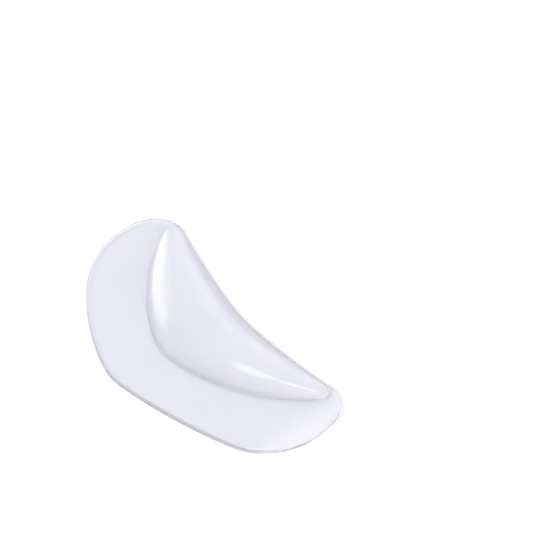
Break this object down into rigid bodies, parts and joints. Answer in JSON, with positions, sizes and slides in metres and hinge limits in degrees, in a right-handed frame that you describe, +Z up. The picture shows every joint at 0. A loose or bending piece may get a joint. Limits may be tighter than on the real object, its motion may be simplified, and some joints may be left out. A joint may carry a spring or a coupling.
{
  "type": "gel arch support insole",
  "caption": "Clear soft gel arch support pad: a thin flat kidney-shaped flange with a rounded rim and a crescent dome along its hollow inner side that fills the arch of the foot.",
  "frame": {"origin": "centre of the bounding box, on the flat underside", "axes": "+X points to the broad end, -Y to the hollow inner side under the arch, +Z up out of the dome"},
  "size_m": [0.1, 0.0522, 0.009],
  "materials": {
    "clear_gel": "glossy clear soft gel with a faint lavender tint"
  },
  "bodies": {
    "root": {"gel_pad": "clear_gel"}
  },
  "joints": []
}
